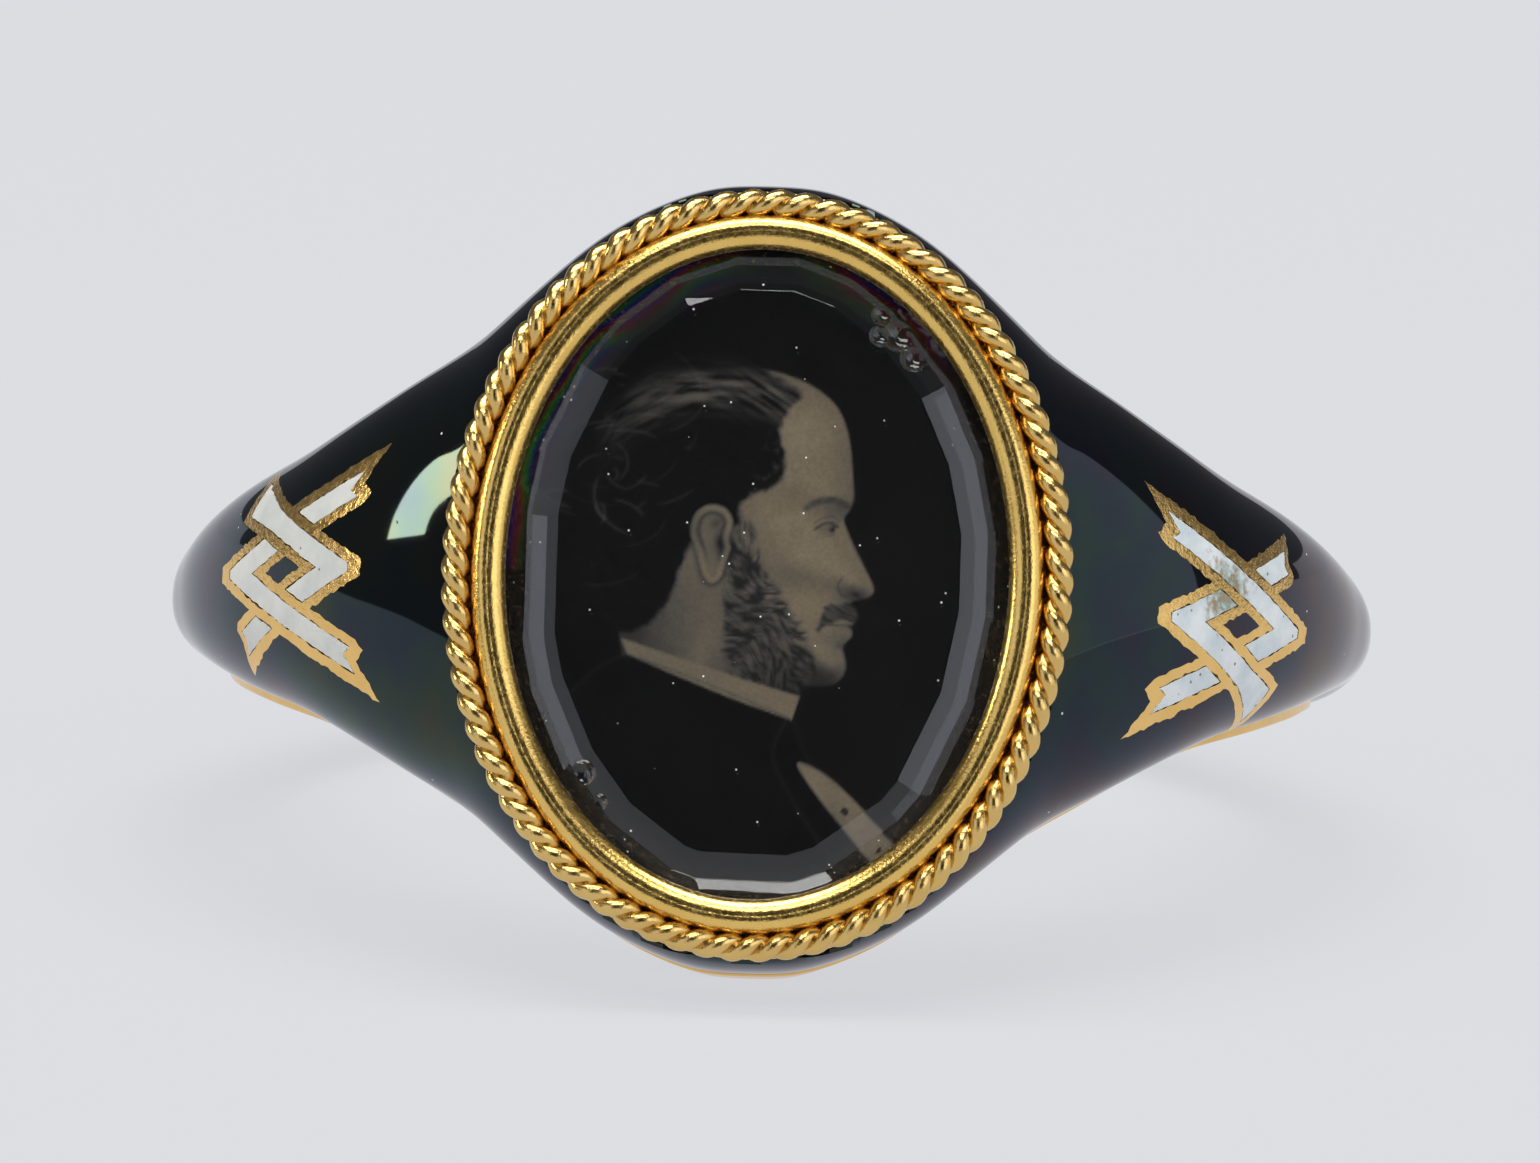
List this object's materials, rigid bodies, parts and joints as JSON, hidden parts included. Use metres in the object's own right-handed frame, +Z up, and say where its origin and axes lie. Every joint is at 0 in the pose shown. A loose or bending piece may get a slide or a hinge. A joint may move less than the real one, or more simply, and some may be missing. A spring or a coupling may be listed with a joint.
{
  "type": "mourning ring",
  "caption": "Black enamelled gold finger ring with a tall oval bezel that holds a portrait photograph under a faceted crystal, ribbon motifs on its shoulders.",
  "frame": {"origin": "centre of the bounding box, at its bottom, on the surface that the ring lies on", "axes": "+Z up, bezel towards -Y and tipped up, back of the hoop towards +Y, width along X"},
  "size_m": [0.0214, 0.0232, 0.0137],
  "materials": {
    "gold": "polished, worn",
    "bezel_gold": "polished",
    "black_enamel": "glossy",
    "white_enamel": "glossy",
    "photograph": "matte",
    "crystal": "polished, faceted"
  },
  "bodies": {
    "root": {"hoop": "gold", "black_enamel": "black_enamel", "ribbon_enamel_left": "white_enamel", "ribbon_enamel_right": "white_enamel", "bezel": "bezel_gold", "photograph": "photograph", "crystal": "crystal"}
  },
  "joints": []
}
